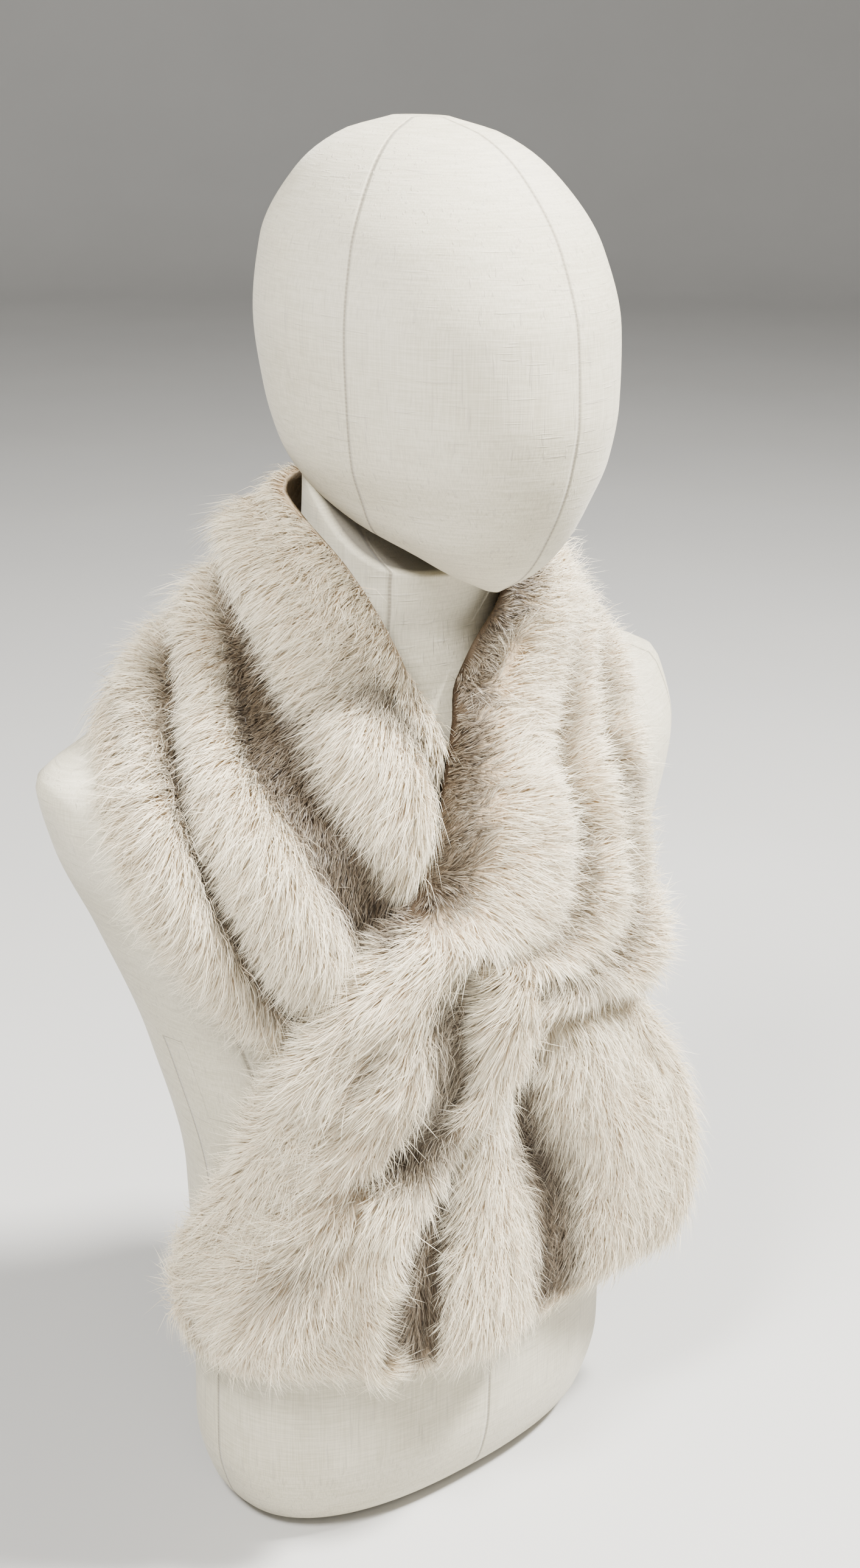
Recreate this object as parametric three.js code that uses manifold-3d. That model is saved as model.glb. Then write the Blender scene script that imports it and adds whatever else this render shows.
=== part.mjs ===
// Fur collar wrap, crossed on the chest of a limbless linen dress form.
// Millimetres, +Z up, the front faces -Y, the wearer's left is +X, the form stands on z = 0.
import * as THREE from "three";
import Module from "manifold-3d";

const CLEAR = 0.9;            // air between the head and the neck it sits on
const REST_CLEAR = { under: 1.4, over: 1.9 };   // cloth side of the wrap to the form, by run
const STRETCH_CUT = 0.011;    // half the cut between two stretches, in stations
const GHOSTS = 3;             // rows past each cut, so that the two sides of it match
const FORM_COLUMNS = 44;
const HEAD_COLUMNS = 36;
const ACROSS = 22;            // cells over the width of the wrap
const ALONG = 3;              // cells between two stations

// The form's horizontal sections, foot to neck.
const TORSO = {
  columns: ["z", "halfWidth", "halfDepth", "centreY", "squareness"],
  rows: [
    [0, 102.5, 50, -1.7, 2.4],
    [6, 115, 59, -1.7, 2.4],
    [18, 122.5, 67, -1.5, 2.4],
    [50, 129.5, 73, -2, 2.4],
    [120, 128, 74, -2, 2.4],
    [200, 128.5, 75, 1, 2.4],
    [280, 144, 81, 8, 2.4],
    [350, 170.5, 83.5, 13, 2.4],
    [400, 193, 77, 16, 2.4],
    [432, 200, 54, 24.5, 2.3],
    [450, 163, 37.5, 33, 2.2],
    [466, 128.5, 37, 28, 2.1],
    [482, 85.5, 43, 18, 2],
    [500, 61.5, 48, 10, 2],
    [520, 52, 49.5, 5, 2],
    [560, 51.5, 51, 1, 2],
    [600, 51.5, 51, 1, 2],
  ],
};
const TORSO_LEVELS = [0, 2, 6, 12, 22, 36, 60, 100, 150, 200, 240, 280, 315, 350, 378, 400, 418,
  432, 440, 450, 458, 466, 474, 482, 490, 500];
// The foot of the neck, where it runs into the chest and the shoulders: ellipses by height.
const NECK_FOOT = {
  columns: ["z", "halfWidth", "halfDepth", "centreY"],
  rows: [
    [340, 60, 42, 0],
    [400, 80, 52, -2],
    [432, 78, 50, -3],
    [450, 70, 46, -2],
    [466, 62, 42, -1],
    [482, 55, 38, 0],
    [500, 44, 32, 2],
    [520, 34, 26, 2],
  ],
};
const MELT = 8;               // how sharply the foot of the neck meets the body
const NECK_STEPS = 5;
const RIM = { front: 521, rise: 54, round: 2.5 };   // the neck's slanting upper rim

// The faceless head's horizontal sections, chin to crown.
const HEAD = {
  columns: ["z", "halfWidth", "frontY", "backY", "squareness"],
  rows: [
    [515, 3, -69, -58, 2],
    [518, 9, -74, -50, 2],
    [524, 21, -84, -40, 2],
    [533, 34, -93, -22, 2],
    [545, 47.5, -101, 20, 2.1],
    [560, 57, -109, 52, 2.1],
    [580, 67.5, -116, 66, 2.1],
    [605, 72, -120, 76, 2.1],
    [640, 75, -118, 81, 2.1],
    [675, 70, -106, 77, 2.1],
    [705, 54, -82, 60, 2.1],
    [724, 32, -52, 34, 2.1],
    [731, 12, -24, 8, 2],
  ],
};
const HEAD_LEVELS = [515, 518, 524, 533, 545, 560, 580, 605, 640, 675, 692, 705, 716, 724, 731];

// The wrap as one long band, from the hem of the tail that hangs on the wearer's left, under the
// crossing, up the right panel, round the neck, down the left panel and over to the other hem.
// neck* is the edge nearest the neck, free* the other one, both on the cloth side of the fur.
// pile is the height of the tallest ridge, valley that of the grooves between.
const BAND = {
  columns: ["neckX", "neckY", "neckZ", "freeX", "freeY", "freeZ", "pile", "valley"],
  rows: [
    [144, -66, 108, -70, -70, 108, 26, 13],
    [150, -70, 148, -71, -70, 140, 30, 14],
    [148, -68, 190, -68, -70, 172, 31, 14],
    [131, -65, 232, -60, -71, 204, 30, 12],
    [109, -67, 268, -48, -73, 238, 27, 11],
    [90, -76, 300, -42, -76, 266, 16, 10],
    [60, -82, 330, -54, -88, 288, 12, 9],
    [36, -82, 352, -80, -80, 296, 12, 9],
    [14, -80, 378, -112, -64, 302, 20, 10],
    [-6, -70, 406, -138, -54, 318, 26, 11],
    [-22, -58, 436, -160, -44, 348, 30, 12],
    [-36, -50, 468, -176, -36, 382, 31, 12],
    [-48, -44, 498, -180, -22, 416, 29, 12],
    [-56, -24, 526, -168, 10, 444, 26, 12],
    [-58, 8, 546, -142, 44, 456, 25, 12],
    [-46, 38, 553, -100, 68, 462, 26, 13],
    [-24, 56, 556, -54, 82, 456, 26, 14],
    [0, 60, 557, 0, 86, 452, 26, 14],
    [24, 56, 556, 52, 82, 456, 26, 14],
    [44, 38, 553, 96, 66, 462, 26, 13],
    [56, 6, 544, 134, 38, 458, 25, 12],
    [44, -28, 528, 142, 6, 448, 25, 12],
    [22, -47, 508, 126, -28, 428, 26, 12],
    [0, -51, 482, 112, -50, 403, 27, 12],
    [-18, -57, 456, 107, -58, 375, 28, 12],
    [-31, -67, 428, 112, -60, 346, 28, 12],
    [-46, -78, 398, 113, -60, 315, 27, 13],
    [-62, -82, 374, 103, -68, 284, 26, 13],
    [-72, -82, 366, 74, -83, 290, 26, 14],
    [-86, -81, 352, 42, -89, 299, 28, 14],
    [-106, -73, 326, 11, -92, 301, 30, 14],
    [-124, -57, 286, -11, -91, 270, 30, 13],
    [-133, -36, 236, -45, -91, 237, 30, 14],
    [-137, -8, 196, -68, -89, 196, 30, 14],
    [-139, 20, 156, -78, -87, 156, 30, 14],
    [-140, 38, 116, -80, -86, 116, 24, 12],
  ],
};

// The four pelt ridges: centre and half width of each, as a share of the width, by station.
const RIDGES = {
  columns: ["station", "centre1", "half1", "centre2", "half2", "centre3", "half3", "centre4", "half4"],
  rows: [
    [0, 0.04, 0.07, 0.26, 0.24, 0.76, 0.2, 0.97, 0.06],
    [2, 0.04, 0.07, 0.28, 0.26, 0.76, 0.19, 0.97, 0.06],
    [4, 0.04, 0.07, 0.36, 0.28, 0.81, 0.14, 0.97, 0.06],
    [6, 0.05, 0.08, 0.36, 0.28, 0.82, 0.14, 0.96, 0.07],
    [9, 0.05, 0.08, 0.25, 0.2, 0.73, 0.17, 0.95, 0.08],
    [10.5, 0.05, 0.08, 0.24, 0.2, 0.7, 0.14, 0.94, 0.09],
    [12, 0.05, 0.08, 0.22, 0.18, 0.66, 0.14, 0.92, 0.1],
    [14, 0.07, 0.1, 0.22, 0.16, 0.57, 0.15, 0.85, 0.15],
    [17, 0.08, 0.11, 0.28, 0.15, 0.56, 0.16, 0.85, 0.15],
    [20, 0.08, 0.11, 0.31, 0.16, 0.6, 0.14, 0.87, 0.14],
    [22.5, 0.05, 0.07, 0.26, 0.23, 0.6, 0.12, 0.85, 0.15],
    [26, 0.05, 0.07, 0.26, 0.21, 0.58, 0.13, 0.85, 0.14],
    [28.2, 0.04, 0.06, 0.15, 0.15, 0.45, 0.14, 0.81, 0.19],
    [29.6, 0.04, 0.07, 0.2, 0.2, 0.67, 0.14, 0.95, 0.1],
    [30.8, 0.05, 0.08, 0.36, 0.3, 0.87, 0.12, 0.98, 0.06],
    [31.8, 0.07, 0.1, 0.42, 0.37, 0.93, 0.11, 0.98, 0.05],
    [33, 0.07, 0.1, 0.47, 0.42, 0.97, 0.09, 0.98, 0.05],
    [35, 0.07, 0.1, 0.5, 0.45, 0.98, 0.06, 0.98, 0.05],
  ],
};
// How far the middle of the cloth hangs in towards the form, between its two edges.
const SAG = {
  columns: ["station", "sag"],
  rows: [[0, 0], [10, 0], [11, 3], [11.5, 9], [12, 16], [13, 15], [15, 13], [17, 7], [19, 11],
    [20, 12], [21, 10], [22, 10], [23, 5], [24, 0], [35, 0]],
};

// How unevenly each ridge swells on its way, and the creases that cross the ridges.
const SWELL = [
  { share: 0.55, waves: 0.31, phase: 0.2, amount: 0.1 },
  { share: 1, waves: 0.17, phase: 0.65, amount: 0.1 },
  { share: 0.97, waves: 0.21, phase: 0.1, amount: 0.09 },
  { share: 0.86, waves: 0.26, phase: 0.4, amount: 0.1 },
];
const CREASES = {
  columns: ["station", "across", "halfLength", "halfWidth", "depth", "slant"],
  rows: [
    [11.9, 0.2, 0.24, 0.5, 12, 1.2],
    [22.6, 0.8, 0.24, 0.35, 4, 0.6],
    [23.7, 0.76, 0.24, 0.35, 4, 0.6],
    [30.4, 0.2, 0.14, 0.35, 6, 0],
    [31.9, 0.75, 0.28, 0.4, 8, -0.5],
    [33.2, 0.55, 0.3, 0.9, 7, 1],
    [3.2, 0.2, 0.16, 0.6, 4, 1],
  ],
};

// The stretches the band is cut into, and the station numbers of the crossing.
const STRETCHES = {
  wrap_tail_under: [0, 6],
  wrap_right_panel: [6, 14],
  wrap_collar_back: [14, 20],
  wrap_left_panel: [20, 30],
  wrap_tail_over: [30, 35],
};
const UNDER_RUN = [0, 10.5];   // stations that pass beneath
const OVER_RUN = [23.6, 35];   // stations that pass above
const PRESSED = 10;            // thickness of the under run where the over run lies on it
const PRESS_RAMP = [3, 18];    // it swells back to full between these distances from the edge
const LIFT = 14.2;             // the over run's cloth side above the form, where the other is below
const LIFT_RAMP = [6, 26];     // it comes down again between these distances from the under run
const CLING = { starts: [2.5, 5], leaves: [9, 12], returns: [22, 25] };   // where it lies on the form
const EDGE = { thickness: 4, reach: 20 };   // rounding of the long edges
const HEM = { thickness: 5, reach: 0.62 };  // rounding of the two hems, reach in stations

const LINEN = { color: 0xcfc9ba, roughness: 0.9 };
const FUR = { color: 0xe6dace, roughness: 0.95 };

const clamp = (v, lo, hi) => Math.min(hi, Math.max(lo, v));
const mix = (a, b, u) => a + (b - a) * u;
const ramp = (v, [lo, hi]) => {
  const u = clamp((v - lo) / (hi - lo), 0, 1);
  return u * u * (3 - 2 * u);
};

// Reads a table at x by its first column, smooth and without overshoot.
function readTable({ rows }, x) {
  const last = rows.length - 1;
  x = clamp(x, rows[0][0], rows[last][0]);
  let i = rows.findIndex((row) => x < row[0]) - 1;
  if (i < 0) i = last - 1;
  const step = (k) => rows[k + 1][0] - rows[k][0];
  const rise = (k, c) => (rows[k + 1][c] - rows[k][c]) / step(k);
  const slope = (k, c) => {
    if (k === 0 || k === last) return rise(Math.min(k, last - 1), c);
    const before = rise(k - 1, c), after = rise(k, c);
    if (before * after <= 0) return 0;
    const w1 = 2 * step(k) + step(k - 1), w2 = step(k) + 2 * step(k - 1);
    return (w1 + w2) / (w1 / before + w2 / after);
  };
  const h = step(i), u = (x - rows[i][0]) / h;
  return rows[i].map((value, c) => c === 0 ? x
    : (1 + 2 * u) * (1 - u) ** 2 * value + u * (1 - u) ** 2 * h * slope(i, c)
      + u * u * (3 - 2 * u) * rows[i + 1][c] + u * u * (u - 1) * h * slope(i + 1, c));
}

// Reads the band's table at a station number, through every row.
function readBand(s) {
  const { rows } = BAND, last = rows.length - 1;
  const i = clamp(Math.floor(s), 0, last - 1), u = s - i;
  return rows[i].map((_, c) => {
    const at = (k) => k < 0 ? 2 * rows[0][c] - rows[1][c]
      : k > last ? 2 * rows[last][c] - rows[last - 1][c] : rows[k][c];
    const [a, b, d, e] = [at(i - 1), at(i), at(i + 1), at(i + 2)];
    return b + 0.5 * u * (d - a + u * (2 * a - 5 * b + 4 * d - e + u * (3 * (b - d) + e - a)));
  });
}

const power = (v, squareness) => Math.sign(v) * Math.abs(v) ** (2 / squareness);

// A closed mesh from rings of points that all have the same count, foot first, each ring
// anticlockwise from above, with a fan at each end.
function ringSolid(rings) {
  const count = rings[0].length, points = rings.flat(), faces = [];
  const centre = (ring) => ring.reduce((sum, p) => sum.map((v, k) => v + p[k] / count), [0, 0, 0]);
  rings.slice(1).forEach((_, r) => {
    for (let k = 0; k < count; k++) {
      const a = r * count + k, b = r * count + (k + 1) % count;
      faces.push([a, b, b + count], [a, b + count, a + count]);
    }
  });
  const foot = points.push(centre(rings[0])) - 1;
  const top = points.push(centre(rings[rings.length - 1])) - 1;
  const over = (rings.length - 1) * count;
  for (let k = 0; k < count; k++) {
    const n = (k + 1) % count;
    faces.push([foot, n, k], [top, over + k, over + n]);
  }
  return { points, faces };
}

const ringAngles = (count) => Array.from({ length: count }, (_, k) => 2 * Math.PI * k / count);

// How far the form's section at height z reaches from its middle in the direction (dx, dy): the
// superellipse of the body and the ellipse of the neck's foot, melted together.
function sectionReach(dx, dy, z, grow = 0) {
  const [, width, depth, centreY, squareness] = readTable(TORSO, z);
  const body = (Math.abs(dx / (width + grow)) ** squareness
    + Math.abs(dy / (depth + grow)) ** squareness) ** (-1 / squareness);
  const [, wide, deep, middle] = readTable(NECK_FOOT, z);
  const offset = (middle - centreY) / deep;
  const a = (dx / wide) ** 2 + (dy / deep) ** 2, b = dy / deep * offset;
  const root = b * b - a * (offset * offset - 1);
  const neck = root > 0 ? Math.max(0, (b + Math.sqrt(root)) / a) : 0;
  return (body ** MELT + neck ** MELT) ** (1 / MELT);
}

function torsoPoint(angle, z, grow = 0) {
  const [, width, depth, centreY, squareness] = readTable(TORSO, z);
  const x = width * power(Math.cos(angle), squareness), y = depth * power(Math.sin(angle), squareness);
  const far = Math.hypot(x, y), reach = sectionReach(x / far, y / far, z, grow);
  return [reach * x / far, centreY + reach * y / far, z];
}

function rimHeight(angle) {
  const back = (1 + Math.sin(angle)) / 2;
  return RIM.front + RIM.rise * ramp(back, [0, 1]);
}

// The neck's rings from z = 500 to the slanting rim, rounded over at the rim.
function neckRings(angles, grow = 0) {
  const rings = [];
  for (let k = 1; k <= NECK_STEPS; k++) {
    rings.push(angles.map((a) => torsoPoint(a, mix(500, rimHeight(a) - RIM.round + grow, k / NECK_STEPS), grow)));
  }
  rings.push(angles.map((a) => {
    const [x, y, z] = torsoPoint(a, rimHeight(a) + grow, grow - RIM.round);
    return [x, y, z];
  }));
  return rings;
}

function torsoSolid() {
  const angles = ringAngles(FORM_COLUMNS);
  const rings = TORSO_LEVELS.map((z) => angles.map((a) => torsoPoint(a, z)));
  return ringSolid([...rings, ...neckRings(angles)]);
}

function neckCutter() {
  const angles = ringAngles(FORM_COLUMNS);
  const foot = angles.map((a) => torsoPoint(a, 500, CLEAR));
  return ringSolid([foot, ...neckRings(angles, CLEAR)]);
}

function headSolid() {
  const angles = ringAngles(HEAD_COLUMNS);
  return ringSolid(HEAD_LEVELS.map((z) => {
    const [, width, front, back, squareness] = readTable(HEAD, z);
    return angles.map((a) => [width * power(Math.cos(a), squareness),
      (front + back) / 2 + (back - front) / 2 * power(Math.sin(a), squareness), z]);
  }));
}

// How far a point lies outside the form, near enough, and which way is out.
function awayFromForm([x, y, z]) {
  const level = (px, py, pz) => {
    const dy = py - readTable(TORSO, pz)[3], far = Math.max(Math.hypot(px, dy), 1e-6);
    return far - sectionReach(px / far, dy / far, pz);
  };
  const here = level(x, y, z), step = 0.5;
  const slope = new THREE.Vector3(level(x + step, y, z) - level(x - step, y, z),
    level(x, y + step, z) - level(x, y - step, z),
    level(x, y, z + step) - level(x, y, z - step)).divideScalar(2 * step);
  const steep = Math.max(slope.length(), 1e-6);
  return { distance: here / steep, out: slope.divideScalar(steep) };
}

// Signed distance in the front view (x, z) to a closed outline, negative inside.
function outlineDistance(x, z, outline) {
  let nearest = Infinity, inside = false;
  outline.forEach(([ax, az], k) => {
    const [bx, bz] = outline[(k + 1) % outline.length];
    const dx = bx - ax, dz = bz - az;
    const u = clamp(((x - ax) * dx + (z - az) * dz) / (dx * dx + dz * dz), 0, 1);
    nearest = Math.min(nearest, Math.hypot(x - ax - u * dx, z - az - u * dz));
    if ((az > z) !== (bz > z) && x < ax + dx * (z - az) / dz) inside = !inside;
  });
  return inside ? -nearest : nearest;
}

// The outline of a run of the band in the front view.
function runOutline([from, to]) {
  const steps = Math.ceil((to - from) * 2), neck = [], free = [];
  for (let k = 0; k <= steps; k++) {
    const row = readBand(mix(from, to, k / steps));
    neck.push([row[0], row[2]]);
    free.unshift([row[3], row[5]]);
  }
  return [...neck, ...free];
}
const underOutline = runOutline(UNDER_RUN), overOutline = runOutline(OVER_RUN);

// Thickness of the fur at station s, share t of the width from the neck edge.
function furThickness(s, t, width, pile, valley, hemDistance) {
  const [, ...ridge] = readTable(RIDGES, s);
  let height = valley;
  SWELL.forEach(({ share, waves, phase, amount }, k) => {
    const u = (t - ridge[2 * k]) / ridge[2 * k + 1];
    if (Math.abs(u) >= 1) return;
    const swell = 1 + amount * Math.sin(2 * Math.PI * (waves * s + phase));
    height = Math.max(height, valley + (pile * share * swell - valley) * (1 - u * u) ** 1.4);
  });
  CREASES.rows.forEach(([station, across, halfLength, halfWidth, depth, slant]) => {
    const along = (s - station - slant * (t - across)) / halfWidth, side = (t - across) / halfLength;
    height -= depth * Math.exp(-along * along - side * side * 1.5);
  });
  const edge = clamp(Math.min(t, 1 - t) * width / EDGE.reach, 0, 1);
  const hem = clamp(hemDistance / HEM.reach, 0, 1);
  const round = Math.sqrt(1 - (1 - edge) ** 2) * Math.sqrt(1 - (1 - hem) ** 2);
  return Math.max(EDGE.thickness, mix(EDGE.thickness, Math.max(height, 7), round));
}

// Slides a row's points along it until they are evenly spaced.
function shareOut(row) {
  const length = [0];
  for (let j = 1; j < row.length; j++) {
    length.push(length[j - 1] + Math.hypot(...row[j].point.map((v, k) => v - row[j - 1].point[k])));
  }
  const total = length[length.length - 1];
  return row.map((_, j) => {
    const want = total * j / (row.length - 1);
    const i = clamp(length.findIndex((v) => v > want) - 1, 0, row.length - 2);
    const last = want >= total, a = row[last ? row.length - 2 : i], b = row[last ? row.length - 1 : i + 1];
    const u = last ? 1 : (want - length[i]) / (length[i + 1] - length[i]);
    return {
      point: a.point.map((v, k) => mix(v, b.point[k], u)),
      lift: row[j].lift, away: mix(a.away, b.away, u),
    };
  });
}

// The cloth side and the thickness across the band at station s.
function bandRow(s) {
  const last = BAND.rows.length - 1, over = s >= 20;
  const [nx, ny, nz, fx, fy, fz, pile, valley] = readBand(s);
  const width = Math.hypot(fx - nx, fy - ny, fz - nz);
  const loose = 1 - ramp(s, CLING.starts) + ramp(s, CLING.leaves) - ramp(s, CLING.returns);
  const after = readBand(s + 0.05), before = readBand(s - 0.05), sag = readTable(SAG, s)[1];
  const forward = new THREE.Vector3(...[0, 1, 2].map((k) => after[k] - before[k] + after[k + 3] - before[k + 3]));
  const inward = new THREE.Vector3(nx - fx, ny - fy, nz - fz).cross(forward).normalize().negate();
  let row = Array.from({ length: ACROSS + 1 }, (_, j) => {
    const t = j / ACROSS, hang = sag * 4 * t * (1 - t);
    const point = [nx, ny, nz].map((v, k) => mix(v, [fx, fy, fz][k], t) + inward.getComponent(k) * hang);
    let lift = over ? REST_CLEAR.over : REST_CLEAR.under;
    if (over && point[1] < 20) {
      lift = mix(LIFT, lift, ramp(outlineDistance(point[0], point[2], underOutline), LIFT_RAMP));
    }
    return { point, lift, away: lift + Math.max(awayFromForm(point).distance - lift, 0) * loose };
  });
  for (let turn = 0; turn < 3; turn++) {
    row = row.map(({ point, lift, away }) => {
      for (let pass = 0; pass < 4; pass++) {
        const { distance, out } = awayFromForm(point);
        const hold = distance < lift ? 1 : 1 - ramp(loose, [0.5, 1]);
        point = point.map((v, k) => v + out.getComponent(k) * (away - distance) * hold);
      }
      return { point, lift, away };
    });
    if (turn < 2) row = shareOut(row);
  }
  return row.map(({ point }, j) => {
    const onFront = mix(ny, fy, j / ACROSS) < 20;
    let thickness = furThickness(s, j / ACROSS, width, pile, valley, Math.min(s, last - s));
    if (!over && onFront && s < 13) {
      const beside = outlineDistance(point[0], point[2], overOutline);
      thickness = Math.min(thickness, mix(PRESSED, thickness, ramp(beside, PRESS_RAMP)));
    }
    return { point: new THREE.Vector3(...point), thickness };
  });
}

// One stretch of the band as a closed solid.
function stretchSolid([from, to]) {
  const last = BAND.rows.length - 1, along = Math.round((to - from) * ALONG);
  const start = from === 0 ? 0 : from + STRETCH_CUT, end = to === last ? last : to - STRETCH_CUT;
  const before = from === 0 ? 0 : GHOSTS, after = to === last ? 0 : GHOSTS;
  const grid = [];
  for (let i = -before; i <= along + after; i++) grid.push(bandRow(mix(start, end, i / along)));
  return slab(grid, before, grid.length - after);
}

// A closed slab on rows first to end of a grid, each point raised by its thickness along the
// smoothed normal.
function slab(all, first, end) {
  const cols = all[0].length;
  const at = (i, j) => all[clamp(i, 0, all.length - 1)][clamp(j, 0, cols - 1)].point;
  let normals = all.map((row, i) => row.map((_, j) => new THREE.Vector3().crossVectors(
    at(i + 1, j).clone().sub(at(i - 1, j)), at(i, j + 1).clone().sub(at(i, j - 1))).normalize()));
  for (let pass = 0; pass < 3; pass++) {
    normals = normals.map((row, i) => row.map((normal, j) => {
      const sum = normal.clone();
      [[-1, 0], [1, 0], [0, -1], [0, 1]].forEach(([di, dj]) => {
        sum.add(normals[clamp(i + di, 0, all.length - 1)][clamp(j + dj, 0, cols - 1)]);
      });
      return sum.normalize();
    }));
  }
  const grid = all.slice(first, end), rows = grid.length;
  const points = grid.flatMap((row) => row.map(({ point }) => point.toArray()));
  grid.forEach((row, i) => row.forEach(({ point, thickness }, j) => {
    points.push(point.clone().addScaledVector(normals[first + i][j], thickness).toArray());
  }));
  const faces = [];
  const inner = (i, j) => i * cols + j, outer = (i, j) => rows * cols + inner(i, j);
  const quad = (a, b, c, d) => faces.push([a, b, c], [a, c, d]);
  for (let i = 0; i < rows - 1; i++) {
    for (let j = 0; j < cols - 1; j++) {
      quad(outer(i, j), outer(i + 1, j), outer(i + 1, j + 1), outer(i, j + 1));
      quad(inner(i, j), inner(i, j + 1), inner(i + 1, j + 1), inner(i + 1, j));
    }
    quad(inner(i, 0), inner(i + 1, 0), outer(i + 1, 0), outer(i, 0));
    quad(outer(i, cols - 1), outer(i + 1, cols - 1), inner(i + 1, cols - 1), inner(i, cols - 1));
  }
  for (let j = 0; j < cols - 1; j++) {
    quad(inner(0, j), outer(0, j), outer(0, j + 1), inner(0, j + 1));
    quad(outer(rows - 1, j), inner(rows - 1, j), inner(rows - 1, j + 1), outer(rows - 1, j + 1));
  }
  return { points, faces };
}

const wasm = await Module();
wasm.setup();

const toManifold = ({ points, faces }) => new wasm.Manifold(new wasm.Mesh({
  numProp: 3,
  vertProperties: new Float32Array(points.flat()),
  triVerts: new Uint32Array(faces.flat()),
}));

function fromManifold(solid) {
  const { numProp, vertProperties, triVerts } = solid.getMesh(), points = [], faces = [];
  for (let k = 0; k < vertProperties.length; k += numProp) {
    points.push([vertProperties[k], vertProperties[k + 1], vertProperties[k + 2]]);
  }
  for (let k = 0; k < triVerts.length; k += 3) faces.push([triVerts[k], triVerts[k + 1], triVerts[k + 2]]);
  return { points, faces };
}

// The head sits on the slanting rim of the neck: the neck's form, a little grown, is cut from it.
function fittedHead() {
  const cut = toManifold(headSolid()).subtract(toManifold(neckCutter()));
  const bodies = cut.decompose().sort((a, b) => b.volume() - a.volume());
  return fromManifold(bodies[0]);
}

const group = new THREE.Group();
function addPiece(name, { points, faces }, { color, roughness }) {
  const geometry = new THREE.BufferGeometry();
  geometry.setAttribute("position", new THREE.Float32BufferAttribute(points.flat(), 3));
  geometry.setIndex(faces.flat());
  geometry.computeVertexNormals();
  const mesh = new THREE.Mesh(geometry, new THREE.MeshStandardMaterial({ color, roughness, metalness: 0 }));
  mesh.name = name;
  group.add(mesh);
}

addPiece("form_torso", torsoSolid(), LINEN);
addPiece("form_head", fittedHead(), LINEN);
for (const [name, stations] of Object.entries(STRETCHES)) addPiece(name, stretchSolid(stations), FUR);

export default group;
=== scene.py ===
import bpy
import numpy as np
from mathutils import Matrix, Vector


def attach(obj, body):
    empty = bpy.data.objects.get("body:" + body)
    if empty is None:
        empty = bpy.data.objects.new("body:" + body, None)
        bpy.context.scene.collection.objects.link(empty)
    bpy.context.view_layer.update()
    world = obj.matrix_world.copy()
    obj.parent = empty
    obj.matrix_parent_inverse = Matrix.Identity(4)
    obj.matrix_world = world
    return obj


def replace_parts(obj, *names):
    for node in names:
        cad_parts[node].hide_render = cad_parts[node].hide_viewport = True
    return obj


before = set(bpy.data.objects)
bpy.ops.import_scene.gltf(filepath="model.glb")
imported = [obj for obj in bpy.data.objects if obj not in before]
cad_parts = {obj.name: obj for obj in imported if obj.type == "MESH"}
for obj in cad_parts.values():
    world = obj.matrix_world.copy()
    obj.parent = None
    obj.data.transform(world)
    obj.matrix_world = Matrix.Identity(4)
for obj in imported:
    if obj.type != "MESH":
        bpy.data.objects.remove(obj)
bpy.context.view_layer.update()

# Fur collar wrap crossed on the chest of a limbless linen dress form. The tables are in
# millimetres; the meshes are made in metres. +Z is up and the front faces -Y.

MM = 0.001
TORSO = np.array([
    # z, half width, half depth, centre y, squareness
    [0, 102.5, 50, -1.7, 2.4],
    [6, 115, 59, -1.7, 2.4],
    [18, 122.5, 67, -1.5, 2.4],
    [50, 129.5, 73, -2, 2.4],
    [120, 128, 74, -2, 2.4],
    [200, 128.5, 75, 1, 2.4],
    [280, 144, 81, 8, 2.4],
    [350, 170.5, 83.5, 13, 2.4],
    [400, 193, 77, 16, 2.4],
    [432, 200, 54, 24.5, 2.3],
    [450, 163, 37.5, 33, 2.2],
    [466, 128.5, 37, 28, 2.1],
    [482, 85.5, 43, 18, 2],
    [500, 61.5, 48, 10, 2],
    [520, 52, 49.5, 5, 2],
    [560, 51.5, 51, 1, 2],
    [600, 51.5, 51, 1, 2],
], float)
TRUNK = np.array([
    # z, half width, half depth, centre y: the foot of the neck, where it runs into the chest
    [340, 60, 42, 0],
    [400, 80, 52, -2],
    [432, 78, 50, -3],
    [450, 70, 46, -2],
    [466, 62, 42, -1],
    [482, 55, 38, 0],
    [500, 44, 32, 2],
    [520, 34, 26, 2],
], float)
MELT = 8            # how sharply the foot of the neck meets the shoulders
RIM_FRONT, RIM_RISE, RIM_ROUND = 521, 54, 2.5
HEAD = np.array([
    # z, half width, front y, back y, squareness
    [515, 3, -69, -58, 2],
    [518, 9, -74, -50, 2],
    [524, 21, -84, -40, 2],
    [533, 34, -93, -22, 2],
    [545, 47.5, -101, 20, 2.1],
    [560, 57, -109, 52, 2.1],
    [580, 67.5, -116, 66, 2.1],
    [605, 72, -120, 76, 2.1],
    [640, 75, -118, 81, 2.1],
    [675, 70, -106, 77, 2.1],
    [705, 54, -82, 60, 2.1],
    [724, 32, -52, 34, 2.1],
    [731, 12, -24, 8, 2],
], float)
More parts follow.
